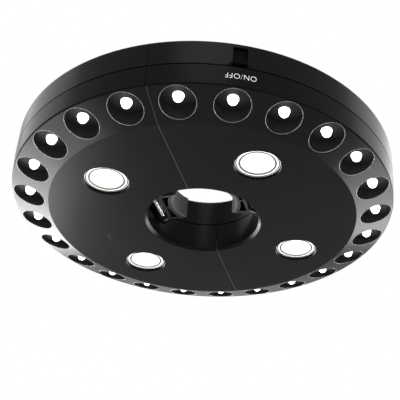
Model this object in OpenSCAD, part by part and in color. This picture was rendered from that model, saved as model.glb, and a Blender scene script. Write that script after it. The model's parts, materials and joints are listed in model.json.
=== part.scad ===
// Clamp-on patio umbrella light: two half-ring housings, hinged at the rim, that close round a pole.
// Millimetres. Every height below is measured up from the flat LED face, and the finished pieces are
// dropped by clamp_mid, so that the origin lies on the pole's axis at the middle of the clamp pads.

/* [Housing] */
// Outer radius of the side wall at the seam
body_r = 108; // [106:0.5:112]
// Width of the sloping LED band
band_w = 20.6; // [19.5:0.1:21.5]
// Rise of the sloping LED band from the flat face to the rim
band_h = 6.3; // [5:0.1:7]
// How far the rim of the band lies inside the side wall
rim_inset = 0.9; // [0.4:0.1:1.5]
// Rounding of the rim
rim_edge_r = 1; // [0.4:0.1:1.4]
// Height of the seam between the lower and the upper shell
seam_h = 17.8; // [17.4:0.1:18.6]
// Height of the top edge of the side wall
wall_h = 31.5; // [30.5:0.5:33]
// Height of the flat top
top_h = 35.5; // [35:0.5:38]
// Radius of the flat top
top_r = 92; // [89:1:95]
// Lean of the upper side wall
draft = 0.4; // [0.2:0.1:0.8]
// Rounding of the top edge
edge_r = 1.5; // [0.8:0.1:2]
// Wall thickness of the shells
wall_t = 2.2; // [1.8:0.1:2.4]
// Thickness of the walls along the split
split_t = 2; // [1.4:0.1:2.4]
// Gap between the two closed halves
split_gap = 0.25; // [0.2:0.05:0.5]
// Width of the groove along the seam
seam_gap = 0.7; // [0.3:0.05:0.8]
// Depth of the tongue below the seam
tongue_h = 2.1; // [1.5:0.1:2.6]
// Thickness of the tongue
tongue_t = 1.9; // [1.4:0.1:2.2]
// Gap outside the tongue
tongue_gap = 0.45; // [0.4:0.05:0.6]
// Free radius of the hole for the pole
bore_r = 31.5; // [31:0.25:32]
// Chamfer round the hole
bore_chamfer = 1.5; // [0.8:0.1:2]

/* [Outer LEDs] */
// Number of wells round both halves
well_n = 24; // [20:4:24]
// Inner diameter of a well
well_d = 17.7; // [16.5:0.1:18.5]
// Distance from the rim to the circle that the wells stand on
well_inset = 9.7; // [9.3:0.1:10.3]
// Height of a well's floor
well_floor_h = 8; // [7:0.1:8.4]
// Thickness of a well's wall and floor
well_t = 1.2; // [0.8:0.1:1.5]
// Diameter of a round LED
bulb_d = 4.8; // [4:0.1:5.4]
// Height of the tip of a round LED
bulb_tip_h = 4.1; // [3.6:0.1:5]

/* [Spot LEDs] */
// Radius of the circle that the four spots stand on
spot_ring_r = 62; // [60:0.5:64]
// Angle of the spots at the free end from the middle of a half
spot_free_deg = 49; // [45:0.5:50]
// Angle of the spots at the hinged end from the middle of a half
spot_hinge_deg = 40; // [38:0.5:46]
// How deep the spots lie in the face
spot_sink = 1.6; // [1:0.1:2]
// Outer diameter of a spot's flange
spot_d = 23.7; // [22:0.1:25]
// Diameter of a spot's lens
lens_d = 17; // [15:0.1:18]
// Thickness of a spot's flange
flange_t = 0.9; // [0.6:0.1:1.3]
// Width of the ledge that the flange lies on
ledge_w = 0.95; // [0.7:0.05:1.3]
// Thickness of a lens at its edge
lens_t = 1.5; // [1:0.1:2]
// Side of a spot's LED chip
chip_w = 5; // [4:0.1:6]
// Thickness of a spot's LED chip
chip_t = 1.2; // [0.8:0.1:1.5]

/* [Boards] */
// Thickness of a circuit board
board_t = 1.6; // [1:0.1:1.8]
// Gap from the board to the walls round it
board_gap = 0.6; // [0.4:0.1:1]
// Inner radius of an LED board
board_in_r = 42.6; // [42.5:0.1:44]
// Width of the control board
control_w = 24; // [20:0.5:28]
// Distance from the top edge of the side wall down to the control board
control_gap = 2.3; // [2:0.1:3]

/* [Clamp] */
// Radius of the pole that the pads hold
pole_r = 18; // [17:0.25:18.5]
// Thickness of a rubber pad
pad_t = 1.4; // [1:0.1:1.8]
// Half the width of a jaw
jaw_half_w = 12; // [11:0.25:12.25]
// Height of a jaw's underside
jaw_low_h = 12; // [11.6:0.1:12.4]
// Height of a jaw from underside to top
jaw_h = 14; // [12:0.25:14]
// Margin of the jaw round its pad
pad_margin = 0.4; // [0.2:0.1:0.8]
// Thickness of a jaw's walls
jaw_t = 1.6; // [1.2:0.1:1.8]
// Thickness of a rib under a jaw
rib_t = 1.1; // [0.8:0.1:1.4]
// Number of ribs under a jaw
rib_n = 1; // [1:1:5]
// Distance from the pole's axis to a jaw's pin
pivot_r = 28; // [27.75:0.05:28.25]
// Height of a jaw's pin
pivot_h = 14; // [13.8:0.1:14.2]
// Distance from a jaw's pin to the jaw's back
back_off = 3.5; // [3.3:0.1:3.7]
// Radius of the eye round a jaw's pin
eye_r = 3.3; // [3:0.1:3.5]
// Diameter of a jaw's pin
jaw_pin_d = 2; // [1.6:0.1:2.1]
// Gap between a jaw and the bosses beside it
jaw_side_gap = 0.4; // [0.3:0.05:0.6]
// Width of a boss that holds the jaw's pin
boss_w = 2.4; // [2:0.1:3]
// Height of the sill under a jaw's window
sill_h = 10; // [9.6:0.1:10.2]
// Height of a jaw's window's top
lintel_h = 32; // [31.8:0.1:32.4]
// Distance from the pole's axis to the back of a jaw's pocket
pocket_back_r = 38.2; // [37.8:0.1:38.6]
// Thickness of the pocket's walls
pocket_t = 1.4; // [1:0.1:1.6]

/* [Hinge] */
// Diameter of the hinge pin
hinge_pin_d = 3; // [2.5:0.1:3.4]
// Radius of a hinge knuckle
knuckle_r = 4.2; // [3.8:0.1:4.4]
// Gap round a knuckle
knuckle_gap = 0.4; // [0.3:0.05:0.6]
// Height of a knuckle
knuckle_h = 2.7; // [2.4:0.05:2.75]
// Height of the floor under the hinge
hinge_floor_h = 11.2; // [11:0.1:11.4]
// How far a hinge arm reaches along the rim
arm_l = 11; // [9:0.5:13]

/* [Springs] */
// Wire diameter of a jaw spring
jaw_wire_d = 0.7; // [0.5:0.05:0.75]
// Turns of a jaw spring
jaw_turns = 13; // [8:1:13]
// Length of a jaw spring
jaw_coil_l = 16; // [15:0.25:17]
// Wire diameter of the hinge spring
hinge_wire_d = 0.8; // [0.6:0.05:0.9]
// Turns of the hinge spring
hinge_turns = 4; // [3:1:4]
// Wire diameter of a contact spring
contact_wire_d = 0.6; // [0.4:0.05:0.7]
// Turns of a contact spring
contact_turns = 4; // [2:1:4]

/* [Battery] */
// Diameter of a cell
cell_d = 14.2; // [13.5:0.1:14.4]
// Length of a cell with its button
cell_l = 50.5; // [49:0.5:51]
// Distance between the axes of the two cells
cell_pitch = 15.6; // [15:0.1:16]
// Distance from the pole's axis to the middle of a battery tray
tray_mid_x = 60; // [59.5:0.25:60.5]
// Gap from the cells to the door
cell_head_gap = 3.2; // [2.8:0.1:3.4]
// Gap under the cells
cell_foot_gap = 0.2; // [0.1:0.05:0.3]
// Thickness of a tray's floor and long walls
tray_t = 1.5; // [1.2:0.1:1.8]
// Length that a contact spring takes up
contact_l = 5.4; // [4.5:0.1:6]
// Thickness of a contact plate
plate_t = 0.5; // [0.3:0.05:0.6]
// Gap round a battery door
door_gap = 0.3; // [0.2:0.05:0.4]
// Width of the ledge that a door lies on
door_ledge = 1.3; // [1:0.1:1.6]
// Radius of a door's rounded hinge edge
door_edge_r = 1.5; // [1.3:0.05:1.6]
// Diameter of a door's side pegs
peg_d = 1.6; // [1.2:0.1:1.8]
// Length of a door's side pegs
peg_l = 1.2; // [0.9:0.1:1.4]

/* [Switch] */
// Angle of the switch round the housing
switch_deg = -67; // [-68:0.5:-66]
// Width of the slot for the button
slot_w = 7; // [6:0.1:8]
// Height of the slot's upper end
slot_top_h = 30.2; // [29:0.1:30.4]
// Gap beside and above the button
button_gap = 0.3; // [0.2:0.05:0.4]
// Gap below the button's raised face
button_foot_gap = 2.4; // [1.5:0.1:2.6]
// Chamfer at the ends of the button's face
button_chamfer = 0.6; // [0.3:0.1:0.8]
// How far the button's face lies inside the wall
button_inset = 0.7; // [0.4:0.1:1.2]
// How far the button travels
button_travel = 0.5; // [0.3:0.05:0.6]
// Radius of the dish in the button's face
dish_r = 12; // [10:0.5:15]
// Depth of the dish
dish_depth = 0.6; // [0.3:0.05:0.65]
// Side of the switch's case
switch_w = 6.2; // [5.8:0.1:6.6]
// Depth of the switch's case
switch_l = 3.6; // [3.2:0.1:4]
// Diameter of the switch's plunger
plunger_d = 3.5; // [3:0.1:4]
// Length of the plunger
plunger_l = 2.2; // [1.8:0.1:2.4]

/* [Hooks] */
// Distance of a hook's pin from the split
hook_x = 24; // [23:0.5:26]
// Distance of a hook's pin along the split
hook_y = 44; // [43:0.5:46]
// Length of a hook's shank
hook_l = 24; // [20:0.5:26]
// Inner radius of the hook's bend
hook_bend_r = 5; // [4:0.25:5.5]
// Width of the hook's bar
hook_w = 3.6; // [3:0.1:4]
// Thickness of the hook's bar
hook_t = 3.2; // [2.6:0.1:3.4]
// Gap round a folded hook
hook_gap = 0.5; // [0.4:0.05:0.8]
// Length of the narrow part of a hook's recess
hook_neck_l = 11; // [10.5:0.25:12]
// Wall beside a hook's eye, which holds the pin
hook_wall_w = 3.2; // [2.8:0.1:3.4]

/* [Screws] */
// Diameter of a screw's shank
screw_d = 2.6; // [2.4:0.1:3]
// Diameter of a screw's head
head_d = 5.2; // [4.8:0.1:5.6]
// Height of a screw's head
head_h = 1.9; // [1.4:0.1:2.2]
// Distance of the outer screws from the edge of the flat face
screw_out_inset = 2; // [1.5:0.25:2.5]
// Angle of the outer screws from the middle of a half
screw_out_deg = 30; // [29:0.5:31]
// Distance of the screws beside the split from the edge of the flat face
screw_end_inset = 6.5; // [6:0.25:7.5]
// Angle of the screws beside the split
screw_end_deg = 72; // [71:0.5:73]

/* [Hidden] */
$fn = 96;
eps = 0.01;
run_gap = 0.05;                        // radial clearance of a pin in its hole
fit_gap = 0.1;                         // clearance between fixed pieces
far = 2 * body_r;                      // longer than any piece, for cutting
clamp_mid = jaw_low_h + jaw_h / 2;     // middle of the pads above the LED face

shell_col = "#26272a";
trim_col = "#1b1c1e";
metal_col = "#b9bcc0";
light_col = "#f7f8f4";

// Housing
rim_r = body_r - rim_inset;
face_r = rim_r - band_w;
top_in_h = top_h - wall_t;
low_top_h = seam_h - seam_gap / 2;
up_low_h = seam_h + seam_gap / 2;
void_in_r = bore_r + wall_t;
box_top_h = top_in_h - fit_gap;
band_slope = band_h / (rim_r - face_r);
half_gap = split_gap / 2;
split_in = half_gap + split_t;

// Wells, spots and boards
well_step = 360 / well_n;
well_r = well_d / 2;
well_ring_r = rim_r - well_inset;
well_top_h = well_floor_h + well_t;
board_h = well_top_h;
board_top_h = board_h + board_t;
board_out_r = body_r - wall_t - 2.4;
spot_body_r = spot_d / 2 - ledge_w;
lens_r = lens_d / 2;
spot_top_h = board_h - chip_t;
spot_ledge_h = spot_sink + flange_t;
lens_top_h = spot_sink + lens_t + 0.8;
spot_mouth = 0.3;

// Clamp
pad_back_r = pole_r + pad_t;
jaw_back_x = pivot_r - back_off;
window_half_w = jaw_half_w + jaw_side_gap;
boss_r = eye_r - 0.3;
jaw_pin_r = jaw_pin_d / 2;
boss_out_x = sqrt(bore_r * bore_r - window_half_w * window_half_w) + wall_t / 2;
pin_end_y = window_half_w + boss_w;
pocket_side_y = window_half_w + pocket_t;
box_in_x = sqrt(void_in_r * void_in_r - pocket_side_y * pocket_side_y);
jaw_coil_r = jaw_pin_r + jaw_wire_d;

// Hinge
hinge_y = body_r + draft;
hinge_clear_r = knuckle_r + knuckle_gap;
hinge_wall_r = hinge_clear_r + 1.5;
hinge_top_h = wall_h - 0.4;
knuckle_step = knuckle_h + 0.3;
left_low_h = hinge_floor_h + 0.5;
right_low_h = left_low_h + knuckle_step;
left_up_h = hinge_top_h - 0.5 - knuckle_h;
right_up_h = left_up_h - knuckle_step;
hinge_pin_r = hinge_pin_d / 2;

// Battery
cell_r = cell_d / 2;
tray_half_x = cell_pitch / 2 + cell_r + 0.5;
tray_half_y = (cell_l + contact_l) / 2 + plate_t;
tray_side_x = tray_half_x + door_ledge + door_gap + tray_t;
tray_side_y = tray_half_y + door_ledge + door_gap + peg_l + tray_t;
tray_floor_h = top_in_h - cell_head_gap - cell_d - cell_foot_gap;
cell_mid_h = tray_floor_h + cell_foot_gap + cell_r;
door_in_x = tray_mid_x - tray_half_x - door_ledge;
door_out_x = tray_mid_x + tray_half_x + door_ledge;
door_half_y = tray_half_y + door_ledge;
door_axis_x = door_in_x + door_edge_r;
door_axis_h = top_h - door_edge_r;
collar_low_h = door_axis_h - door_edge_r - tray_t - 0.2;

// Switch
flange_out_r = body_r - wall_t - 0.3;
flange_in_r = flange_out_r - 1.2;
slot_low_h = up_low_h;
plunger_r = flange_in_r - button_travel - 0.1;
switch_front_r = plunger_r - plunger_l;
switch_back_r = switch_front_r - switch_l;

// Hooks
eye_out_r = hook_t / 2 + 0.6;
hook_pin_r = 1;
hook_pin_y = hook_w / 2 + hook_wall_w - 0.9;
hook_axis_h = top_h - eye_out_r - 0.2;
hook_floor_h = hook_axis_h - eye_out_r - 0.4;
cup_t = 1.6;
cup_low_h = hook_floor_h - cup_t;
bend_mid_y = hook_bend_r + hook_w / 2;
hook_end_x = hook_l + hook_bend_r + hook_w;
hook_side_y = 2 * bend_mid_y + hook_w / 2;

// Screws
screw_out_r = face_r - screw_out_inset;
screw_end_r = face_r - screw_end_inset;
post_r = screw_d / 2 + 1.9;
sleeve_r = head_d / 2 + 1.3;
head_seat_h = up_low_h + 2.2;
screw_tip_h = 9.5;

// ---- Placing ----

// Drops a piece from the LED face's heights to the origin at the clamp
module seat() translate([0, 0, -clamp_mid]) children();

// The left half is the mirror image of the right half
module left() mirror([1, 0, 0]) children();

// What lies beyond x0 on the right-hand side
module beyond(x0) intersection() {
    children();
    translate([x0, -far, -far]) cube([2 * far, 2 * far, 2 * far]);
}

// A block from one corner to the opposite one
module block(a, b) translate(a) cube(b - a);

// A rod along Y, from y0 to y1, round the axis at x and z
module rod_y(x, z, r, y0, y1) translate([x, y0, z]) rotate([-90, 0, 0]) cylinder(r = r, h = y1 - y0);

// Angles of the wells on the right half, measured from +X
function well_angles() = [for (i = [0 : well_n / 2 - 1]) -90 + (i + 0.5) * well_step];

module at_wells() for (a = well_angles()) rotate([0, 0, a]) translate([well_ring_r, 0, 0]) children();
module at_spots() for (a = [-spot_free_deg, spot_hinge_deg]) rotate([0, 0, a]) translate([spot_ring_r, 0, 0]) children();
module at_screws() {
    for (s = [-1, 1]) {
        rotate([0, 0, s * screw_out_deg]) translate([screw_out_r, 0, 0]) children();
        rotate([0, 0, s * screw_end_deg]) translate([screw_end_r, 0, 0]) children();
    }
}

// ---- Coil springs ----

ring_sides = 6;
turn_rings = 8;

function unit(v) = v / norm(v);

// A coil round Z that starts at angle start and climbs from z0 to z1 while its radius goes from r0 to r1,
// with a straight leg of the given length before and after it
function coil(r0, r1, z0, z1, turns, start, leg) =
    let (n = turns * turn_rings,
         at = function (k) let (a = start + 360 * k / turn_rings, r = r0 + (r1 - r0) * k / n)
             [r * cos(a), r * sin(a), z0 + (z1 - z0) * k / n],
         body = [for (k = [0 : n]) at(k)],
         first = [sin(start), -cos(start), 0] * leg,
         stop = start + 360 * turns,
         last = [-sin(stop), cos(stop), 0] * leg)
    leg > 0 ? concat([body[0] + first], body, [body[n] + last]) : body;

// Least gap between stretches of a wire that lie at least half a turn apart
function least_gap(path, wire_d) =
    min([for (i = [0 : len(path) - 1]) for (j = [i + turn_rings / 2 : 1 : len(path) - 1])
        norm(path[i] - path[j])]) - wire_d;

// A round wire along a path whose tangent is never upright
module wire(path, d) {
    n = len(path);
    function tangent(i) = unit(path[min(i + 1, n - 1)] - path[max(i - 1, 0)]);
    function ring(i) =
        let (t = tangent(i), side = unit(cross([0, 0, 1], t)), up = cross(t, side))
        [for (k = [0 : ring_sides - 1]) let (a = 360 * k / ring_sides)
            path[i] + d / 2 * (cos(a) * side + sin(a) * up)];
    points = [for (i = [0 : n - 1]) for (p = ring(i)) p];
    function at(i, k) = i * ring_sides + k % ring_sides;
    walls = [for (i = [0 : n - 2]) for (k = [0 : ring_sides - 1])
        for (f = [[at(i, k), at(i, k + 1), at(i + 1, k + 1)], [at(i, k), at(i + 1, k + 1), at(i + 1, k)]]) f];
    low_end = [for (k = [1 : ring_sides - 2]) [at(0, 0), at(0, k + 1), at(0, k)]];
    high_end = [for (k = [1 : ring_sides - 2]) [at(n - 1, 0), at(n - 1, k), at(n - 1, k + 1)]];
    polyhedron(points = points, faces = concat(walls, low_end, high_end), convexity = 8);
}

jaw_coil = coil(jaw_coil_r, jaw_coil_r, -jaw_coil_l / 2, jaw_coil_l / 2, jaw_turns, 0, 2.6);
hinge_coil_low_h = right_low_h + knuckle_h + 0.4 + hinge_wire_d / 2;
hinge_coil_top_h = right_up_h - 0.4 - hinge_wire_d / 2;
hinge_coil = coil(hinge_pin_r + hinge_wire_d, hinge_pin_r + hinge_wire_d, hinge_coil_low_h,
    hinge_coil_top_h, hinge_turns, 0, 2.4);
contact_coil = coil(cell_r * 0.6, cell_r * 0.3, contact_wire_d / 2, contact_l - contact_wire_d / 2,
    contact_turns, 0, 0);

echo(least_gap_jaw_spring = least_gap(jaw_coil, jaw_wire_d));
echo(least_gap_hinge_spring = least_gap(hinge_coil, hinge_wire_d));
echo(least_gap_contact_spring = least_gap(contact_coil, contact_wire_d));

// ---- Shells ----

module revolve(points) rotate_extrude($fn = 180) polygon(points);

// Outside of the lower shell, filled
module lower_solid() {
    slope = atan(band_slope);
    lean = atan((body_r - rim_r) / (low_top_h - band_h));
    // Middle of the rounding, which touches the band and the wall
    half = (90 - slope - lean) / 2;
    run = rim_edge_r * tan(half);
    mid = [rim_r - run * cos(slope) - rim_edge_r * sin(slope), band_h - run * sin(slope) + rim_edge_r * cos(slope)];
    corner = [for (i = [0 : 6]) let (a = slope - 90 + (90 - slope - lean) * i / 6)
        mid + rim_edge_r * [cos(a), sin(a)]];
    revolve(concat([[bore_r + bore_chamfer, 0], [face_r, 0]], corner,
        [[body_r, low_top_h], [bore_r, low_top_h], [bore_r, bore_chamfer]]));
}

// Hollow of the lower shell
module lower_void() revolve([
    [void_in_r, wall_t], [face_r, wall_t], [rim_r - wall_t, band_h + wall_t * 0.9],
    [body_r - wall_t, low_top_h + 1], [void_in_r, low_top_h + 1]
]);

// Outside of the upper shell, filled
module upper_solid() {
    bevel = (top_h - wall_h - edge_r) / (body_r + draft - edge_r - top_r);
    turn = 90 - atan(bevel);
    corner = [for (i = [0 : 6]) let (a = turn * i / 6)
        [body_r + draft - edge_r + edge_r * cos(a), wall_h + edge_r * sin(a)]];
    revolve(concat([[bore_r, up_low_h], [body_r, up_low_h]], corner,
        [[top_r, top_h], [bore_r + bore_chamfer, top_h], [bore_r, top_h - bore_chamfer]]));
}

// Hollow of the upper shell
module upper_void() revolve([
    [void_in_r, up_low_h - 1], [body_r - wall_t, up_low_h - 1], [body_r + draft - wall_t, wall_h - wall_t * 0.4],
    [top_r, top_in_h], [void_in_r, top_in_h]
]);

// Tongue of the upper shell, which drops inside the lower shell's wall
module tongue() {
    out_r = body_r - wall_t - tongue_gap;
    beyond(split_in + 2 * fit_gap) difference() {
        revolve([
            [out_r - tongue_t, low_top_h - tongue_h], [out_r, low_top_h - tongue_h], [out_r, up_low_h],
            [out_r + 1, up_low_h + 0.3], [out_r + 1, up_low_h + 1.4], [out_r - tongue_t, up_low_h + 0.6]
        ]);
        // Clear of the hinge arms
        block([0, face_r, 0], [arm_l + 0.6, far, far]);
    }
}

// A hinge knuckle of the right half, with the arm that joins it to the rim
module knuckle(z0) translate([0, 0, z0]) {
    translate([0, hinge_y, 0]) cylinder(r = knuckle_r, h = knuckle_h);
    linear_extrude(height = knuckle_h) polygon([
        [0, hinge_y - knuckle_r], [0, hinge_y + knuckle_r], [2, hinge_y + knuckle_r - 0.1],
        [arm_l, body_r - 1.4], [arm_l, body_r - 1.8], [knuckle_r, hinge_y - knuckle_r]
    ]);
}

// Room for both halves' knuckles
module hinge_room() translate([0, hinge_y, hinge_floor_h])
    cylinder(r = hinge_clear_r, h = hinge_top_h - hinge_floor_h);

module hinge_bore() translate([0, hinge_y, hinge_floor_h])
    cylinder(r = hinge_pin_r + run_gap, h = hinge_top_h - hinge_floor_h);

// Room for a jaw, from the hole to the back of its pocket
module jaw_room() block([jaw_back_x, -window_half_w, sill_h], [pocket_back_r, window_half_w, lintel_h]);

// Bosses in the hole that hold the ends of a jaw's pin
module jaw_bosses() for (s = [0, 1]) mirror([0, s, 0]) {
    rod_y(pivot_r, pivot_h, boss_r, window_half_w, window_half_w + boss_w);
    block([pivot_r, window_half_w, pivot_h - boss_r], [boss_out_x, window_half_w + boss_w, pivot_h + boss_r]);
}

// Lower shell of the right half; knuckle_low_h is the height of the hinge knuckle that it carries
module lower_shell(knuckle_low_h) difference() {
    union() {
        difference() {
            union() {
                difference() {
                    beyond(half_gap) lower_solid();
                    beyond(split_in) lower_void();
                }
                beyond(half_gap) intersection() {
                    lower_solid();
                    union() {
                        at_wells() cylinder(r = well_r + well_t, h = well_top_h, $fn = 64);
                        at_spots() cylinder(r = spot_d / 2 + well_t, h = spot_ledge_h + wall_t / 2);
                        translate([0, hinge_y, hinge_floor_h - 1.2]) cylinder(r = hinge_wall_r, h = far);
                    }
                }
                at_screws() translate([0, 0, wall_t / 2]) cylinder(r = post_r, h = low_top_h + 0.2 - wall_t / 2);
            }
            hinge_room();
            jaw_room();
        }
        jaw_bosses();
        knuckle(knuckle_low_h);
    }
    at_wells() {
        translate([0, 0, -1]) cylinder(r = well_r, h = well_floor_h + 1, $fn = 64);
        cylinder(r = bulb_d / 2 + fit_gap, h = far, $fn = 32);
    }
    at_spots() {
        translate([0, 0, -1]) cylinder(r = spot_d / 2 + fit_gap, h = spot_ledge_h + 1);
        translate([0, 0, -eps]) cylinder(r1 = spot_d / 2 + fit_gap + spot_mouth, r2 = spot_d / 2 + fit_gap, h = spot_mouth);
        cylinder(r = spot_body_r + fit_gap, h = far);
    }
    at_screws() translate([0, 0, screw_tip_h - 1]) cylinder(r = screw_d / 2 + run_gap, h = far, $fn = 32);
    rod_y(pivot_r, pivot_h, jaw_pin_r + run_gap, -pin_end_y - fit_gap, pin_end_y + fit_gap);
    hinge_bore();
}

// Box behind a jaw, which joins both shells' walls at the hole
module jaw_box() difference() {
    block([box_in_x, -pocket_side_y, sill_h - pocket_t],
        [pocket_back_r + pocket_t, pocket_side_y, box_top_h]);
    jaw_room();
    translate([0, 0, -1]) cylinder(r = void_in_r + fit_gap, h = far);
    rod_y(pivot_r, pivot_h, boss_r + fit_gap, -pin_end_y, pin_end_y);
}

// Room for the cells, the contacts and the door
module tray_room() {
    block([tray_mid_x - tray_half_x, -tray_half_y, tray_floor_h], [tray_mid_x + tray_half_x, tray_half_y, far]);
    block([door_in_x - door_gap, -door_half_y - door_gap, top_in_h],
        [door_out_x + door_gap, door_half_y + door_gap, far]);
    block([door_in_x - door_gap, -door_half_y - door_gap, door_axis_h - door_edge_r - 0.2],
        [door_axis_x + door_edge_r + door_gap, door_half_y + door_gap, far]);
    rod_y(door_axis_x, door_axis_h, peg_d / 2 + run_gap, -door_half_y - peg_l - 0.2, door_half_y + peg_l + 0.2);
    // Finger scoop beside the door's free edge
    translate([door_out_x + 1.5, 0, top_h - 1.3]) cylinder(r = 7, h = 3);
}

// Tray that hangs below the door's opening, with a collar that the door rests on
module battery_tray() difference() {
    union() {
        translate([tray_mid_x, 0, 0]) block(
            [-tray_half_x - tray_t, -tray_half_y - tray_t, tray_floor_h - tray_t],
            [tray_half_x + tray_t, tray_half_y + tray_t, box_top_h]);
        translate([tray_mid_x, 0, 0])
            block([-tray_side_x, -tray_side_y, collar_low_h], [tray_side_x, tray_side_y, box_top_h]);
    }
    tray_room();
}

// Cup that a folded hook lies in
module hook_cup() difference() {
    translate([hook_x, hook_y, 0]) {
        block([-eye_out_r - 2.5, -hook_w / 2 - hook_wall_w, cup_low_h],
            [hook_neck_l + 0.6, hook_w / 2 + hook_wall_w, box_top_h]);
        block([hook_neck_l - 3, -hook_w / 2 - 2, cup_low_h],
            [hook_end_x + hook_gap + cup_t, hook_side_y + hook_gap + cup_t, box_top_h]);
    }
    hook_room();
}

module hook_room() translate([hook_x, hook_y, 0]) {
    block([-eye_out_r - 1, -hook_w / 2 - hook_gap, hook_floor_h], [hook_neck_l, hook_w / 2 + hook_gap, far]);
    block([hook_neck_l - 1, -hook_w / 2 - hook_gap, hook_floor_h],
        [hook_end_x + hook_gap, hook_side_y + hook_gap, far]);
    rod_y(0, hook_axis_h, hook_pin_r + run_gap, -hook_pin_y - fit_gap, hook_pin_y + fit_gap);
}

// Upper shell of the right half; hook_flip is 0 for a hook towards the hinge and 1 for one away from it
module upper_shell(knuckle_low_h, hook_flip) difference() {
    union() {
        difference() {
            union() {
                difference() {
                    beyond(half_gap) upper_solid();
                    beyond(split_in) upper_void();
                }
                beyond(half_gap) intersection() {
                    upper_solid();
                    translate([0, hinge_y, 0]) cylinder(r = hinge_wall_r, h = far);
                }
                at_screws() translate([0, 0, up_low_h]) cylinder(r = sleeve_r, h = top_in_h + 0.5 - up_low_h);
            }
            hinge_room();
            jaw_room();
        }
        tongue();
        knuckle(knuckle_low_h);
    }
    cylinder(r = bore_r, h = far);
    tray_room();
    mirror([0, hook_flip, 0]) hook_room();
    at_screws() {
        translate([0, 0, head_seat_h]) cylinder(r = head_d / 2 + 0.3, h = far, $fn = 48);
        cylinder(r = screw_d / 2 + 0.25, h = far, $fn = 32);
    }
    hinge_bore();
}

// A box at the switch: from radius r0 to r1, of width w, between heights z0 and z1
module switch_block(r0, r1, w, z0, z1) rotate([0, 0, switch_deg])
    block([r0, -w / 2, z0], [r1, w / 2, z1]);

module lower_shell_left() color(shell_col) seat() left() lower_shell(left_low_h);
module lower_shell_right() color(shell_col) seat() lower_shell(right_low_h);
module upper_shell_left() color(shell_col) seat() left() upper_shell(left_up_h, 1);
module upper_shell_right() color(shell_col) seat() difference() {
    upper_shell(right_up_h, 0);
    switch_block(flange_in_r - 2, far, slot_w, slot_low_h, slot_top_h);
    switch_block(flange_in_r - 2, flange_out_r + 0.25, slot_w + 4, slot_low_h, slot_top_h);
}
module jaw_box_left() color(shell_col) seat() left() jaw_box();
module jaw_box_right() color(shell_col) seat() jaw_box();
module battery_tray_left() color(shell_col) seat() left() battery_tray();
module battery_tray_right() color(shell_col) seat() battery_tray();
module hook_cup_left() color(shell_col) seat() left() mirror([0, 1, 0]) hook_cup();
module hook_cup_right() color(shell_col) seat() hook_cup();

// ---- Hinge ----

module hinge_pin() color(metal_col) seat() translate([0, hinge_y, hinge_floor_h + 0.2])
    cylinder(r = hinge_pin_r, h = hinge_top_h - hinge_floor_h - 0.4);

module hinge_spring() color(metal_col) seat() translate([0, hinge_y, 0]) wire(hinge_coil, hinge_wire_d);

// ---- Clamp ----

// Right jaw: a concave block for the pad on two cheeks that turn on the pin
module jaw() {
    horn_x = sqrt(pow(pad_back_r, 2) - pow(jaw_half_w, 2)) - 1;
    high = jaw_low_h + jaw_h;
    difference() {
        union() {
            difference() {
                block([horn_x, -jaw_half_w, jaw_low_h], [jaw_back_x, jaw_half_w, high]);
                // Hollow underside between the pad's wall, the back, the cheeks and the ribs
                difference() {
                    block([horn_x - 1, -jaw_half_w + jaw_t, jaw_low_h - 1],
                        [jaw_back_x - jaw_t, jaw_half_w - jaw_t, high - jaw_t]);
                    cylinder(r = pad_back_r + jaw_t, h = far);
                    for (i = [1 : rib_n]) translate([0, (i / (rib_n + 1) - 0.5) * 2 * jaw_half_w, 0])
                        block([0, -rib_t / 2, 0], [far, rib_t / 2, far]);
                }
            }
            for (s = [0, 1]) mirror([0, s, 0]) translate([pivot_r, jaw_half_w, pivot_h]) rotate([90, 0, 0]) {
                cylinder(r = eye_r, h = jaw_t, $fn = 64);
                linear_extrude(height = jaw_t) polygon([
                    [-back_off - 0.5, jaw_low_h - pivot_h], [0, 0.3 - eye_r], [eye_r * 0.8, eye_r * 0.5],
                    [-back_off + 1, high - pivot_h], [-back_off - 0.5, high - pivot_h]
                ]);
            }
        }
        translate([0, 0, -eps]) cylinder(r = pad_back_r, h = far);
        rod_y(pivot_r, pivot_h, jaw_pin_r + run_gap, -far, far);
    }
}

module jaw_pad() {
    half_w = jaw_half_w - pad_margin;
    intersection() {
        translate([0, 0, jaw_low_h + pad_margin]) difference() {
            cylinder(r = pad_back_r, h = jaw_h - 2 * pad_margin);
            translate([0, 0, -1]) cylinder(r = pole_r, h = far);
        }
        block([0, -half_w, 0], [far, half_w, far]);
    }
}

module jaw_pin() rod_y(pivot_r, pivot_h, jaw_pin_r, -pin_end_y, pin_end_y);

module jaw_spring() translate([pivot_r, 0, pivot_h]) rotate([-90, 0, 0]) rotate([0, 0, 180])
    wire(jaw_coil, jaw_wire_d);

module jaw_left() color(trim_col) seat() left() jaw();
module jaw_right() color(trim_col) seat() jaw();
module jaw_pad_left() color("#3a3b3d") seat() left() jaw_pad();
module jaw_pad_right() color("#3a3b3d") seat() jaw_pad();
module jaw_pin_left() color(metal_col) seat() left() jaw_pin();
module jaw_pin_right() color(metal_col) seat() jaw_pin();
module jaw_spring_left() color(metal_col) seat() left() jaw_spring();
module jaw_spring_right() color(metal_col) seat() jaw_spring();

// ---- Lights ----

// A round LED with a domed tip that hangs under the board
module bulb() {
    r = bulb_d / 2;
    rotate_extrude($fn = 32) polygon(concat(
        [[0, board_h]], [[r, board_h]],
        [for (i = [0 : 6]) let (a = -90 * i / 6) [max(0, r * cos(a)), bulb_tip_h + r + r * sin(a)]]
    ));
}

// Flange, seat for the lens and cone of a spot
module spot_reflector() rotate_extrude() polygon([
    [lens_r + 0.1, spot_sink], [spot_d / 2 - 0.3, spot_sink], [spot_d / 2, spot_sink + 0.3],
    [spot_d / 2, spot_ledge_h], [spot_body_r, spot_ledge_h], [spot_body_r, spot_top_h],
    [chip_w * 0.75, spot_top_h], [lens_r - 0.6, lens_top_h], [lens_r + 0.1, lens_top_h]
]);

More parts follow.
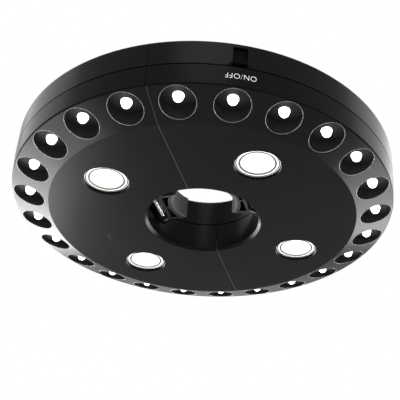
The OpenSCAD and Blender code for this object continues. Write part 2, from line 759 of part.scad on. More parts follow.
// Lens with a shallow dome
module spot_lens() {
    rotate_extrude() polygon(concat(
        [[0, lens_top_h], [lens_r, lens_top_h]],
        [for (i = [0 : 8]) let (r = lens_r * (1 - i / 8)) [r, spot_sink + 0.2 + 0.6 * pow(r / lens_r, 2)]]
    ));
}

module spot_chip() block([-chip_w / 2, -chip_w / 2, spot_top_h], [chip_w / 2, chip_w / 2, board_h]);

module led_board() difference() {
    translate([0, 0, board_h]) beyond(split_in + board_gap) difference() {
        cylinder(r = board_out_r, h = board_t);
        translate([0, 0, -1]) cylinder(r = board_in_r, h = board_t + 2);
    }
    at_screws() cylinder(r = post_r + board_gap, h = far);
    translate([0, hinge_y, 0]) cylinder(r = hinge_wall_r + board_gap, h = far);
}

module outer_leds_left() color(light_col) seat() left() at_wells() bulb();
module outer_leds_right() color(light_col) seat() at_wells() bulb();
module spot_reflectors_left() color("#d8dadc") seat() left() at_spots() spot_reflector();
module spot_reflectors_right() color("#d8dadc") seat() at_spots() spot_reflector();
module spot_lenses_left() color(light_col) seat() left() at_spots() spot_lens();
module spot_lenses_right() color(light_col) seat() at_spots() spot_lens();
module spot_chips_left() color("#f2e6a0") seat() left() at_spots() spot_chip();
module spot_chips_right() color("#f2e6a0") seat() at_spots() spot_chip();
module led_board_left() color("#1e5a38") seat() left() led_board();
module led_board_right() color("#1e5a38") seat() led_board();

// ---- Switch ----

module control_board() color("#1e5a38") seat()
    switch_block(switch_back_r - board_t, switch_back_r, control_w, board_top_h, wall_h - control_gap);

module switch_body() color("#30343a") seat() {
    mid = (slot_low_h + slot_top_h) / 2;
    switch_block(switch_back_r, switch_front_r, switch_w, mid - switch_w / 2, mid + switch_w / 2);
    rotate([0, 0, switch_deg]) translate([switch_front_r, 0, mid]) rotate([0, 90, 0])
        cylinder(r = plunger_d / 2, h = plunger_l, $fn = 32);
}

module switch_button() color("#111214") seat() {
    low = slot_low_h + button_foot_gap;
    high = slot_top_h - button_gap;
    face_x = body_r - button_inset;
    face_w = slot_w - 2 * button_gap;
    difference() {
        union() {
            switch_block(flange_in_r, flange_out_r, slot_w + 2.2, slot_low_h + button_gap, high);
            rotate([0, 0, switch_deg]) translate([0, face_w / 2, 0]) rotate([90, 0, 0])
                linear_extrude(height = face_w) polygon([
                    [flange_in_r, low], [face_x - button_chamfer, low], [face_x, low + button_chamfer],
                    [face_x, high - button_chamfer], [face_x - button_chamfer, high], [flange_in_r, high]
                ]);
        }
        // Shallow dish for a fingertip
        rotate([0, 0, switch_deg]) translate([face_x + dish_r - dish_depth, 0, (low + high) / 2 + dish_depth])
            rotate([90, 0, 0]) cylinder(r = dish_r, h = slot_w, center = true);
    }
}

// ---- Battery ----

module battery_door() {
    difference() {
        union() {
            block([door_axis_x, -door_half_y, top_in_h], [door_out_x, door_half_y, top_h]);
            rod_y(door_axis_x, door_axis_h, door_edge_r, -door_half_y, door_half_y);
            rod_y(door_axis_x, door_axis_h, peg_d / 2, -door_half_y - peg_l, door_half_y + peg_l);
        }
        // Grip grooves beside the free edge
        for (i = [0 : 4]) translate([door_out_x - 3 - 2 * i, 0, top_h - 0.5])
            block([-0.5, -8, 0], [0.5, 8, 1]);
    }
}

// A cell along +Y from its flat end at the origin
module cell() rotate([-90, 0, 0]) rotate_extrude($fn = 64) polygon([
    [0, 0], [cell_r - 0.8, 0], [cell_r, 0.6], [cell_r, cell_l - 2.2], [cell_r - 0.8, cell_l - 1.6],
    [2.7, cell_l - 1.6], [2.7, cell_l - 0.2], [2.5, cell_l], [0, cell_l]
]);

// Two places beside each other that face opposite ways
module at_cells() for (s = [0, 1])
    translate([tray_mid_x + (s - 0.5) * cell_pitch, 0, cell_mid_h]) mirror([0, s, 0]) children();

module contact_plates() {
    half_h = cell_r - 1.6;
    block([tray_mid_x - cell_pitch / 2 - 5, tray_half_y - plate_t, cell_mid_h - half_h],
        [tray_mid_x + cell_pitch / 2 + 5, tray_half_y, cell_mid_h + half_h]);
    for (s = [-1, 1]) translate([tray_mid_x + s * cell_pitch / 2, 0, 0])
        block([-5, -tray_half_y, cell_mid_h - half_h], [5, plate_t - tray_half_y, cell_mid_h + half_h]);
}

module cells() at_cells() translate([0, tray_half_y - plate_t - cell_l, 0]) cell();
module contact_springs() at_cells() translate([0, plate_t - tray_half_y, 0]) rotate([-90, 0, 0])
    wire(contact_coil, contact_wire_d);

module battery_door_left() color(shell_col) seat() left() battery_door();
module battery_door_right() color(shell_col) seat() battery_door();
module cells_left() color("#c8c4b8") seat() left() cells();
module cells_right() color("#c8c4b8") seat() cells();
module contact_springs_left() color(metal_col) seat() left() contact_springs();
module contact_springs_right() color(metal_col) seat() contact_springs();
module contact_plates_left() color(metal_col) seat() left() contact_plates();
module contact_plates_right() color(metal_col) seat() contact_plates();

// ---- Hooks ----

module hook() translate([hook_x, hook_y, hook_axis_h]) difference() {
    union() {
        rod_y(0, 0, eye_out_r, -hook_w / 2, hook_w / 2);
        block([0, -hook_w / 2, -hook_t / 2], [hook_l, hook_w / 2, hook_t / 2]);
        translate([hook_l, bend_mid_y, -hook_t / 2]) rotate([0, 0, -90])
            rotate_extrude(angle = 215) translate([hook_bend_r, 0]) square([hook_w, hook_t]);
    }
    rod_y(0, 0, hook_pin_r + run_gap, -far, far);
}

module hook_pin() translate([hook_x, hook_y, 0]) rod_y(0, hook_axis_h, hook_pin_r, -hook_pin_y, hook_pin_y);

module hook_left() color(trim_col) seat() left() mirror([0, 1, 0]) hook();
module hook_right() color(trim_col) seat() hook();
module hook_pin_left() color(metal_col) seat() left() mirror([0, 1, 0]) hook_pin();
module hook_pin_right() color(metal_col) seat() hook_pin();

// ---- Screws ----

module case_screw() difference() {
    union() {
        translate([0, 0, screw_tip_h]) cylinder(r = screw_d / 2, h = head_seat_h - screw_tip_h, $fn = 32);
        translate([0, 0, head_seat_h]) cylinder(r = head_d / 2, h = head_h, $fn = 48);
    }
    for (a = [0, 90]) rotate([0, 0, a]) translate([0, 0, head_seat_h + head_h - 0.9])
        block([-1.6, -0.35, 0], [1.6, 0.35, 2]);
}

module case_screws_left() color(metal_col) seat() left() at_screws() case_screw();
module case_screws_right() color(metal_col) seat() at_screws() case_screw();

lower_shell_left();
lower_shell_right();
upper_shell_left();
upper_shell_right();
jaw_box_left();
jaw_box_right();
battery_tray_left();
battery_tray_right();
hook_cup_left();
hook_cup_right();
hinge_pin();
hinge_spring();
jaw_left();
jaw_right();
jaw_pad_left();
jaw_pad_right();
jaw_pin_left();
jaw_pin_right();
jaw_spring_left();
jaw_spring_right();
outer_leds_left();
outer_leds_right();
spot_reflectors_left();
spot_reflectors_right();
spot_lenses_left();
spot_lenses_right();
spot_chips_left();
spot_chips_right();
led_board_left();
led_board_right();
control_board();
switch_body();
switch_button();
battery_door_left();
battery_door_right();
cells_left();
cells_right();
contact_springs_left();
contact_springs_right();
contact_plates_left();
contact_plates_right();
hook_left();
hook_right();
hook_pin_left();
hook_pin_right();
case_screws_left();
case_screws_right();
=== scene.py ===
"""Looks of a clamp-on patio umbrella light.

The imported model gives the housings, jaws, doors, boards and screws. This script dresses them and adds
what is finer than the solids: the lit LEDs and spots, the lips of the wells, the wound springs and the
print beside the switch. Lengths are metres, in the model's own frame: Z runs up the pole, and the flat
LED face looks down.
"""

from __future__ import annotations

import json
import logging
import math
from dataclasses import dataclass
from enum import Enum
from typing import Callable, Iterable, Sequence

import bmesh
import bpy
from mathutils import Matrix, Vector

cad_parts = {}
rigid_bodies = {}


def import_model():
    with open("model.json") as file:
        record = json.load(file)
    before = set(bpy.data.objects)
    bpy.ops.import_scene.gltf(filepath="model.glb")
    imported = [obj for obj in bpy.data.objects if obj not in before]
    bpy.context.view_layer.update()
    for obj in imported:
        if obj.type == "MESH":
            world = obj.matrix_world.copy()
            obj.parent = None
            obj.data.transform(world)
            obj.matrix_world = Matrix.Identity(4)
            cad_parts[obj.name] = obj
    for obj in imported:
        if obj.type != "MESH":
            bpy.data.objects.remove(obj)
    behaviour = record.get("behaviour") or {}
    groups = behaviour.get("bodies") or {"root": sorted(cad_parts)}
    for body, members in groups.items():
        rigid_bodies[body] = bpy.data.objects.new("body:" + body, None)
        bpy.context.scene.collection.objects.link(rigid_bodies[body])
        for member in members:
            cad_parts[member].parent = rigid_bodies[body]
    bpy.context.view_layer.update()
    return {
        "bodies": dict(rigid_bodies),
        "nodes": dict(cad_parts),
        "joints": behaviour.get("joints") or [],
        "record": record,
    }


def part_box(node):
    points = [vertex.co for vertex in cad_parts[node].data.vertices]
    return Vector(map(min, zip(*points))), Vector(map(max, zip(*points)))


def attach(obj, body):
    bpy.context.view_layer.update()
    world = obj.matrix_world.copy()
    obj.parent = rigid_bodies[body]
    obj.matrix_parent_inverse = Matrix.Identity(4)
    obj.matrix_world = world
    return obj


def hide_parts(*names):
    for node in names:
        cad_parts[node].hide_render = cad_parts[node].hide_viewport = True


LOG = logging.getLogger("umbrella_light")
MM = 0.001

Point = tuple[float, float, float]
Colour = tuple[float, float, float]
Profile = list[tuple[float, float]]


class Half(Enum):
    """The two halves of the light, with the side of the split that each lies on."""

    LEFT = "left"
    RIGHT = "right"

    @property
    def sign(self) -> int:
        """1 for the half at +X and -1 for the other."""
        return 1 if self is Half.RIGHT else -1

    @property
    def turn(self) -> float:
        """Angle in radians that carries a ring made for the right half to this half."""
        return 0.0 if self is Half.RIGHT else math.pi

    @property
    def body(self) -> str:
        """Name of the body that the half's fixed pieces ride on."""
        return f"half_{self.value}"

    def node(self, name: str) -> str:
        """Name of this half's copy of a node."""
        return f"{name}_{self.value}"


@dataclass(frozen=True)
class Layout:
    """Sizes shared by several sub-assemblies, read from the frame where it shows them.

    Attributes:
        face_z: Height of the flat LED face.
        face_r: Radius at which the sloping band starts.
        rim_r: Radius of the band's outer edge.
        rim_z: Height of the band's outer edge.
        body_r: Radius of the lower shell's wall at its upper edge.
        well_ring_r: Radius of the circle of wells.
        well_r: Inner radius of a well.
        well_count: Number of wells on one half.
        spot_ring_r: Radius of the circle of spots.
        spot_free_deg: Angle of the spots at the free end from the middle of a half.
        spot_hinge_deg: Angle of the spots at the hinged end from the middle of a half.
        spot_sink: Depth of the spots in the face.
        wall_top: Height of the lower shell's upper edge above the face.
    """

    face_z: float
    face_r: float = 86.5 * MM
    rim_r: float = 107.1 * MM
    rim_z: float = 0.0
    body_r: float = 108.0 * MM
    well_ring_r: float = 97.4 * MM
    well_r: float = 8.85 * MM
    well_count: int = 12
    spot_ring_r: float = 62.0 * MM
    spot_free_deg: float = 49.0
    spot_hinge_deg: float = 40.0
    spot_sink: float = 1.6 * MM
    wall_top: float = 17.45 * MM

    @classmethod
    def from_frame(cls, band_rise: float = 6.3 * MM) -> "Layout":
        """Reads the heights from the lower shell's box, whose band climbs by band_rise."""
        low, _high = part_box("lower_shell_right")
        return cls(face_z=low.z, rim_z=low.z + band_rise)

    @property
    def well_step(self) -> float:
        """Angle between neighbouring wells, in radians."""
        return math.pi / self.well_count

    @property
    def spot_middles(self) -> tuple[tuple[float, float], tuple[float, float]]:
        """Middles of the right half's spots, at the free end and at the hinged end."""
        ring = self.spot_ring_r
        turns = (-math.radians(self.spot_free_deg), math.radians(self.spot_hinge_deg))
        free, hinged = ((ring * math.cos(a), ring * math.sin(a)) for a in turns)
        return free, hinged

    def band_z(self, radius: float) -> float:
        """Height of the face or the band at a radius."""
        share = (radius - self.face_r) / (self.rim_r - self.face_r)
        return self.face_z + max(0.0, share) * (self.rim_z - self.face_z)


# ------------------------------
# Shader building
# ------------------------------


class Value:
    """A number socket that can be used in Python expressions."""

    def __init__(self, tree: bpy.types.NodeTree, socket: bpy.types.NodeSocket) -> None:
        """Wraps an output socket of the tree."""
        self.tree = tree
        self.socket = socket

    def math(self, operation: str, *others: "Value | float", first: "float | None" = None) -> "Value":
        """Adds a Math node.

        Args:
            operation: The Math node's operation.
            others: The inputs after this one.
            first: A number that goes before this value, for the reflected operators.

        Returns:
            The node's result.
        """
        node = self.tree.nodes.new("ShaderNodeMath")
        node.operation = operation
        inputs: list[Value | float] = [self, *others] if first is None else [first, self, *others]
        for slot, item in zip(node.inputs, inputs):
            if isinstance(item, Value):
                self.tree.links.new(item.socket, slot)
            else:
                slot.default_value = item
        return Value(self.tree, node.outputs[0])

    def __add__(self, other: "Value | float") -> "Value":
        """Sum."""
        return self.math("ADD", other)

    def __radd__(self, other: float) -> "Value":
        """Reflected sum."""
        return self.math("ADD", other)

    def __sub__(self, other: "Value | float") -> "Value":
        """Difference."""
        return self.math("SUBTRACT", other)

    def __rsub__(self, other: float) -> "Value":
        """Reflected difference."""
        return self.math("SUBTRACT", first=other)

    def __mul__(self, other: "Value | float") -> "Value":
        """Product."""
        return self.math("MULTIPLY", other)

    def __truediv__(self, other: "Value | float") -> "Value":
        """Quotient."""
        return self.math("DIVIDE", other)

    def __gt__(self, other: "Value | float") -> "Value":
        """1 where this is greater, otherwise 0."""
        return self.math("GREATER_THAN", other)

    def __lt__(self, other: "Value | float") -> "Value":
        """1 where this is less, otherwise 0."""
        return self.math("LESS_THAN", other)

    def smooth(self, low: float, high: float) -> "Value":
        """0 below low, 1 above high, and a smooth step between them."""
        node = self.tree.nodes.new("ShaderNodeMapRange")
        node.interpolation_type = "SMOOTHSTEP"
        self.tree.links.new(self.socket, node.inputs["Value"])
        node.inputs["From Min"].default_value = low
        node.inputs["From Max"].default_value = high
        return Value(self.tree, node.outputs["Result"])


class Paint:
    """Builds one node material round a Principled shader."""

    def __init__(self, name: str) -> None:
        """Makes an empty material of that name."""
        self.material = bpy.data.materials.new(name)
        self.material.use_nodes = True
        self.tree = self.material.node_tree
        self.shader = self.tree.nodes["Principled BSDF"]

    def node(
        self,
        kind: str,
        settings: "dict[str, object] | None" = None,
        values: "dict[str, object] | None" = None,
    ) -> bpy.types.Node:
        """Adds any node.

        Args:
            kind: The node's type.
            settings: Properties of the node, which are set first.
            values: Numbers, colours or links for its input sockets, by name.

        Returns:
            The node.
        """
        node = self.tree.nodes.new(kind)
        for name, value in (settings or {}).items():
            setattr(node, name, value)
        for name, value in (values or {}).items():
            self.feed(node.inputs[name], value)
        return node

    def feed(self, slot: bpy.types.NodeSocket, value: object) -> None:
        """Links or sets one input socket."""
        if isinstance(value, Value):
            self.tree.links.new(value.socket, slot)
        elif isinstance(value, bpy.types.NodeSocket):
            self.tree.links.new(value, slot)
        elif isinstance(value, tuple) and len(value) == 3 and slot.type == "RGBA":
            slot.default_value = (*value, 1.0)
        else:
            slot.default_value = value

    def point(self) -> bpy.types.NodeSocket:
        """Object coordinates, which are the model's own frame."""
        return self.node("ShaderNodeTexCoord").outputs["Object"]

    def axes(self) -> tuple[Value, Value, Value]:
        """X, Y and Z of the shaded point."""
        split = self.node("ShaderNodeSeparateXYZ", values={"Vector": self.point()})
        x, y, z = (Value(self.tree, out) for out in split.outputs)
        return x, y, z

    def noise(self, scale: float, detail: float = 2.0, stretch: Point = (1, 1, 1)) -> Value:
        """Noise of a given scale per metre, from 0 to 1."""
        placed = self.node("ShaderNodeMapping", values={"Vector": self.point(), "Scale": stretch})
        tex = self.node(
            "ShaderNodeTexNoise",
            values={"Vector": placed.outputs["Vector"], "Scale": scale, "Detail": detail},
        )
        return Value(self.tree, tex.outputs["Fac"])

    def blend(self, share: Value, low: object, high: object) -> bpy.types.NodeSocket:
        """Colour that goes from low to high as share goes from 0 to 1."""
        # With colours, the mix node has its share in slot 0 and its two colours in slots 6 and 7.
        mix = self.node("ShaderNodeMix", {"data_type": "RGBA"})
        self.feed(mix.inputs[0], share)
        self.feed(mix.inputs[6], low)
        self.feed(mix.inputs[7], high)
        return mix.outputs[2]

    def bump(self, height: Value, strength: float, depth: float) -> None:
        """Feeds the shader's normal from a height in units of depth metres."""
        node = self.node(
            "ShaderNodeBump", values={"Height": height, "Strength": strength, "Distance": depth}
        )
        self.feed(self.shader.inputs["Normal"], node.outputs["Normal"])

    def set(self, **values: object) -> "Paint":
        """Sets the shader's sockets, whose names have _ for a space."""
        for name, value in values.items():
            self.feed(self.shader.inputs[name.replace("_", " ")], value)
        return self


# ------------------------------
# Finishes
# ------------------------------


@dataclass(frozen=True)
class HousingPlastic:
    """Satin black plastic, matt inside the wells, with painted light: lighter wells for the bulbs' glow
    and a painted highlight along one edge of the split.

    Attributes:
        layout: Gives the wells' places and the heights of the face and the rim.
        colour: Colour of the plain plastic.
        worn: Colour that handling marks lead towards.
        well_lit_colour: Colour inside the wells, painted lighter than the plain plastic to stand in for
            the bulbs' light on their walls.
        edge_highlight: Colour of the painted highlight along the split's edge.
        edge_highlight_x: Range of X that the painted highlight takes.
        well_depth: Height above the face up to which the wells reach.
        well_soft: Distances inside and outside a well's wall over which the two finishes meet.
        roughness: Roughness of the plain plastic.
        specular: Strength of the gloss.
        grain: Scale of the moulded grain, per metre.
    """

    layout: Layout
    colour: Colour = (0.0035, 0.0035, 0.0038)
    worn: Colour = (0.0095, 0.0095, 0.01)
    well_lit_colour: Colour = (0.016, 0.016, 0.0165)
    edge_highlight: Colour = (0.045, 0.045, 0.046)
    edge_highlight_x: tuple[float, float] = (0.1 * MM, 0.42 * MM)
    well_depth: float = 9.0 * MM
    well_soft: tuple[float, float] = (0.05 * MM, 0.12 * MM)
    roughness: float = 0.2
    specular: float = 0.06
    grain: float = 2600.0

    def edge_highlight_mask(self, paint: Paint) -> Value:
        """1 along the right half's edge where the face and the band meet the split, where the highlight
        is painted, 0 elsewhere.
        """
        x, _y, z = paint.axes()
        low, high = self.edge_highlight_x
        return (x > low) * (x < high) * (z < self.layout.rim_z)

    def well_mask(self, paint: Paint) -> Value:
        """1 inside the wells of the band, 0 elsewhere."""
        plan = self.layout
        inward, outward = self.well_soft
        x, y, z = paint.axes()
        radius = (x * x + y * y).math("SQRT")
        turns = y.math("ARCTAN2", x) / plan.well_step
        off = (turns.math("FRACT") - 0.5) * plan.well_step
        along = radius * off.math("COSINE") - plan.well_ring_r
        across = radius * off.math("SINE")
        reach = (along * along + across * across).math("SQRT")
        inside = 1 - reach.smooth(plan.well_r - inward, plan.well_r + outward)
        return inside * (z < plan.face_z + self.well_depth)

    def build(self) -> bpy.types.Material:
        """Makes the material."""
        paint = Paint("housing_plastic")
        wells = self.well_mask(paint)
        cloud = paint.noise(22.0, detail=3.0)
        marks = paint.noise(160.0, detail=4.0, stretch=(1.0, 0.25, 1.0)).smooth(0.66, 0.74)
        body = paint.blend(cloud * 0.25 + marks * 0.25, self.colour, self.worn)
        # The wells get a lighter copy of the colour, painted light for the glow of the bulbs inside
        # them; their higher roughness is a real matt finish.
        body_with_lit_wells = paint.blend(wells, body, self.well_lit_colour)
        # The split's edge is painted lighter: a painted highlight where the edge would catch the lamps.
        paint.set(
            Base_Color=paint.blend(self.edge_highlight_mask(paint), body_with_lit_wells, self.edge_highlight),
            Roughness=self.roughness + cloud * 0.06 + marks * 0.04 + wells * 0.3,
            Specular_IOR_Level=self.specular,
        )
        paint.bump(paint.noise(self.grain, detail=1.0), strength=0.1, depth=0.015 * MM)
        return paint.material


@dataclass(frozen=True)
class Plastic:
    """Plain moulded plastic with a fine grain."""

    name: str
    colour: Colour
    roughness: float
    grain: float = 2200.0
    specular: float = 0.4

    def build(self) -> bpy.types.Material:
        """Makes the material."""
        paint = Paint(self.name)
        cloud = paint.noise(60.0, detail=3.0)
        lighter = tuple(min(1.0, c * 1.7 + 0.006) for c in self.colour)
        paint.set(
            Base_Color=paint.blend(cloud * 0.4, self.colour, lighter),
            Roughness=self.roughness + cloud * 0.1,
            Specular_IOR_Level=self.specular,
        )
        paint.bump(paint.noise(self.grain, detail=1.0), strength=0.2, depth=0.03 * MM)
        return paint.material


@dataclass(frozen=True)
class PadRubber:
    """Dark rubber with fine grip lines round the pole."""

    colour: Colour = (0.03, 0.03, 0.031)
    paler: Colour = (0.075, 0.074, 0.072)
    pitch: float = 1.1 * MM

    def build(self) -> bpy.types.Material:
        """Makes the material."""
        paint = Paint("pad_rubber")
        _x, _y, z = paint.axes()
        ridge = (z * (2 * math.pi / self.pitch)).math("SINE") * 0.5 + 0.5
        cloud = paint.noise(90.0, detail=3.0)
        # The rubber turns paler in random patches and towards the crests of the grip lines.
        paint.set(
            Base_Color=paint.blend(cloud * 0.5 + ridge * 0.3, self.colour, self.paler),
            Roughness=0.72 + cloud * 0.12,
        )
        paint.bump(ridge + paint.noise(1400.0) * 0.2, strength=0.6, depth=0.2 * MM)
        return paint.material


@dataclass(frozen=True)
class Metal:
    """Drawn or rolled metal with fine streaks along one axis."""

    name: str
    colour: Colour
    roughness: float
    streak: Point = (1.0, 1.0, 0.06)

    def build(self) -> bpy.types.Material:
        """Makes the material."""
        paint = Paint(self.name)
        lines = paint.noise(3200.0, stretch=self.streak)
        stain = paint.noise(240.0, detail=3.0)
        darker = tuple(c * 0.72 for c in self.colour)
        paint.set(
            Base_Color=paint.blend(stain * 0.6, self.colour, darker),
            Roughness=self.roughness + lines * 0.12,
            Metallic=1.0,
        )
        paint.bump(lines, strength=0.12, depth=0.01 * MM)
        return paint.material


@dataclass(frozen=True)
class Glow:
    """Clear or white plastic that is lit from inside; the white print uses it too, as a painted glow
    though it is no lamp.
    """

    name: str
    colour: Colour
    strength: float
    roughness: float = 0.12

    def build(self) -> bpy.types.Material:
        """Makes the material."""
        paint = Paint(self.name)
        cloud = paint.noise(700.0, detail=1.0)
        dim = tuple(c * 0.93 for c in self.colour)
        tone = paint.blend(cloud, self.colour, dim)
        paint.set(
            Base_Color=tone,
            Emission_Color=tone,
            Emission_Strength=self.strength,
            Roughness=self.roughness,
            IOR=1.5,
        )
        return paint.material


@dataclass(frozen=True)
class SpotPlastic:
    """White plastic of the spots, lit from behind, shaded by the distance to a spot's middle.

    Attributes:
        name: Name of the material.
        layout: Gives the spots' middles.
        inner: Colour at the middle.
        outer: Colour at the edge.
        edge_r: Radius at which the outer colour is reached.
        strength: Emission at the middle.
        edge_strength: Emission at the edge.
        lines: Radius and width of each fine dark line.
        line_colour: Colour of the lines.
    """

    name: str
    layout: Layout
    inner: Colour
    outer: Colour
    edge_r: float
    strength: float
    edge_strength: float
    lines: tuple[tuple[float, float], ...] = ()
    line_colour: Colour = (0.05, 0.05, 0.05)

    def build(self) -> bpy.types.Material:
        """Makes the material."""
        paint = Paint(self.name)
        x, y, _z = paint.axes()
        (free_x, free_y), (hinge_x, hinge_y) = self.layout.spot_middles
        hinged = y > 0.0
        off_x = x.math("ABSOLUTE") - (free_x + hinged * (hinge_x - free_x))
        off_y = y - (free_y + hinged * (hinge_y - free_y))
        reach = (off_x * off_x + off_y * off_y).math("SQRT")
        share = reach.smooth(0.0, self.edge_r)
        tone = paint.blend(share, self.inner, self.outer)
        for radius, width in self.lines:
            line = 1 - (reach - radius).math("ABSOLUTE").smooth(0.35 * width, 0.65 * width)
            tone = paint.blend(line, tone, self.line_colour)
        glow = self.strength + share * (self.edge_strength - self.strength)
        dimmed = paint.blend(glow / self.strength, (0.0, 0.0, 0.0), tone)
        paint.set(
            Base_Color=tone,
            Emission_Color=dimmed,
            Emission_Strength=self.strength,
            Roughness=0.16 + paint.noise(500.0) * 0.06,
            IOR=1.5,
        )
        return paint.material


@dataclass(frozen=True)
class BoardLacquer:
    """Green lacquered circuit board with fine tracks."""

    colour: Colour = (0.012, 0.09, 0.035)
    track: Colour = (0.03, 0.16, 0.06)
    tracks_per_metre: float = 900.0

    def build(self) -> bpy.types.Material:
        """Makes the material."""
        paint = Paint("board_lacquer")
        x, y, _z = paint.axes()
        bend = paint.noise(40.0, detail=0.0) * 6.0
        across = (x + y * 0.4) * self.tracks_per_metre
        lines = (across + bend).math("FRACT").smooth(0.55, 0.65)
        gate = paint.noise(70.0, detail=0.0).smooth(0.48, 0.52)
        paint.set(
            Base_Color=paint.blend(lines * gate, self.colour, self.track),
            Roughness=0.3,
        )
        paint.bump(lines * gate, strength=0.3, depth=0.04 * MM)
        return paint.material


@dataclass(frozen=True)
class CellSleeve:
    """Shrink sleeve of a cell: dark body, copper-coloured bands, bare metal at the ends."""

    colour: Colour = (0.03, 0.032, 0.036)
    band: Colour = (0.45, 0.2, 0.07)
    metal: Colour = (0.6, 0.6, 0.58)
    band_from: float = 13.0 * MM
    metal_from: float = 24.4 * MM
    edge: float = 0.1 * MM

    def build(self) -> bpy.types.Material:
        """Makes the material."""
        paint = Paint("cell_sleeve")
        _x, y, _z = paint.axes()
        reach = y.math("ABSOLUTE")
        banded = reach.smooth(self.band_from, self.band_from + self.edge)
        ends = reach.smooth(self.metal_from, self.metal_from + 2 * self.edge)
        sleeve = paint.blend(banded, self.colour, self.band)
        paint.set(
            Base_Color=paint.blend(ends, sleeve, self.metal),
            Roughness=0.28 + paint.noise(80.0) * 0.1,
            Metallic=ends * 0.9,
        )
        return paint.material


class Finishes:
    """Every material of the light, made once."""

    def __init__(self, layout: Layout) -> None:
        """Builds the materials."""
        black = (0.006, 0.006, 0.0065)
        blackest = (0.0015, 0.0015, 0.0016)
        white = (1.0, 1.0, 0.97)
        lens_lines = ((6.3 * MM, 0.35 * MM),)
        ring_lines = ((9.25 * MM, 1.2 * MM), (11.05 * MM, 0.6 * MM))
        self.housing = HousingPlastic(layout).build()
        self.jaw = Plastic("jaw_plastic", black, roughness=0.42).build()
        self.button = Plastic("button_plastic", blackest, roughness=0.6, specular=0.03).build()
        self.switch = Plastic("switch_plastic", (0.05, 0.052, 0.056), roughness=0.4).build()
        self.rubber = PadRubber().build()
        self.steel = Metal("drawn_steel", (0.56, 0.57, 0.59), roughness=0.26).build()
        self.spring = Metal("spring_wire", (0.66, 0.66, 0.67), roughness=0.2).build()
        self.nickel = Metal(
            "nickel_contact", (0.66, 0.64, 0.58), roughness=0.3, streak=(1.0, 0.06, 1.0)
        ).build()
        self.plating = Metal(
            "reflector_plating", (0.92, 0.92, 0.9), roughness=0.14, streak=(1.0, 1.0, 1.0)
        ).build()
        self.bulb = Glow("bulb_glow", (0.94, 0.98, 1.0), strength=4.0).build()
        self.spot_lens = SpotPlastic(
            "spot_lens_glow",
            layout,
            inner=white,
            outer=(1.0, 0.99, 0.86),
            edge_r=8.5 * MM,
            strength=1.6,
            edge_strength=0.8,
            lines=lens_lines,
        ).build()
        self.spot_ring = SpotPlastic(
            "spot_ring_glow",
            layout,
            inner=white,
            outer=(0.8, 0.8, 0.78),
            edge_r=11.85 * MM,
            strength=1.0,
            edge_strength=0.3,
            lines=ring_lines,
        ).build()
        self.chip = Glow("chip_glow", (1.0, 0.95, 0.8), strength=6.0).build()
        self.board = BoardLacquer().build()
        self.cell = CellSleeve().build()
        # The print gets a faint glow of its own, painted light that keeps its thin strokes white though
        # it is no lamp.
        self.glowing_ink = Glow("white_print", (0.95, 0.95, 0.95), strength=0.6, roughness=0.6).build()
        # The lips are real rounded geometry, but their colour is painted far lighter than the housing
        # plastic as a painted highlight on the wells' mouths.
        self.lip_highlight = Plastic("well_lip", (0.09, 0.09, 0.093), roughness=0.22, specular=0.6).build()


# ------------------------------
# Mesh building
# ------------------------------


def new_object(name: str, data: bpy.types.ID) -> bpy.types.Object:
    """Makes an object of a mesh, text, lamp or camera, and links it to the scene."""
    item = bpy.data.objects.new(name, data)
    bpy.context.scene.collection.objects.link(item)
    return item


def finished_mesh(piece: bpy.types.Object) -> bpy.types.Mesh:
    """A plain mesh of an object as its modifiers leave it."""
    bpy.context.view_layer.update()
    graph = bpy.context.evaluated_depsgraph_get()
    return bpy.data.meshes.new_from_object(piece.evaluated_get(graph))


def new_piece(
    name: str, verts: Sequence[Point], faces: Sequence[Sequence[int]]
) -> bpy.types.Object:
    """Makes a mesh object from points and faces.

    Args:
        name: Name of the object.
        verts: Its points, in metres.
        faces: Its faces, or pairs of points for a bare path.

    Returns:
        The object.
    """
    mesh = bpy.data.meshes.new(name)
    edges = [f for f in faces if len(f) == 2]
    mesh.from_pydata(list(verts), edges, [f for f in faces if len(f) > 2])
    mesh.update()
    return new_object(name, mesh)


def tidy_normals(piece: bpy.types.Object, smooth_deg: float = 35.0) -> None:
    """Merges doubles, points the faces outwards and shades smooth below an angle."""
    limit = math.radians(smooth_deg)
    form = bmesh.new()
    form.from_mesh(piece.data)
    bmesh.ops.remove_doubles(form, verts=form.verts, dist=1e-6)
    bmesh.ops.recalc_face_normals(form, faces=form.faces)
    for edge in form.edges:
        edge.smooth = len(edge.link_faces) == 2 and edge.calc_face_angle(0.0) < limit
    for face in form.faces:
        face.smooth = True
    form.to_mesh(piece.data)
    form.free()
    piece.data.update()


def lathe(name: str, profile: Profile, centre: Point, sides: int) -> bpy.types.Object:
    """Turns a profile round an upright axis into a closed solid.

    Args:
        name: Name of the object.
        profile: (radius, height) pairs round the outline; radius 0 closes the solid on its axis.
        centre: A point on the axis, to which the heights are added.
        sides: Number of steps round the axis.

    Returns:
        The object.
    """
    verts: list[Point] = []
    for k in range(sides):
        angle = 2 * math.pi * k / sides
        verts += [
            (centre[0] + r * math.cos(angle), centre[1] + r * math.sin(angle), centre[2] + z)
            for r, z in profile
        ]
    n = len(profile)
    faces = [
        (k * n + i, k * n + (i + 1) % n, (k + 1) % sides * n + (i + 1) % n, (k + 1) % sides * n + i)
        for k in range(sides)
        for i in range(n)
    ]
    piece = new_piece(name, verts, faces)
    tidy_normals(piece)
    return piece


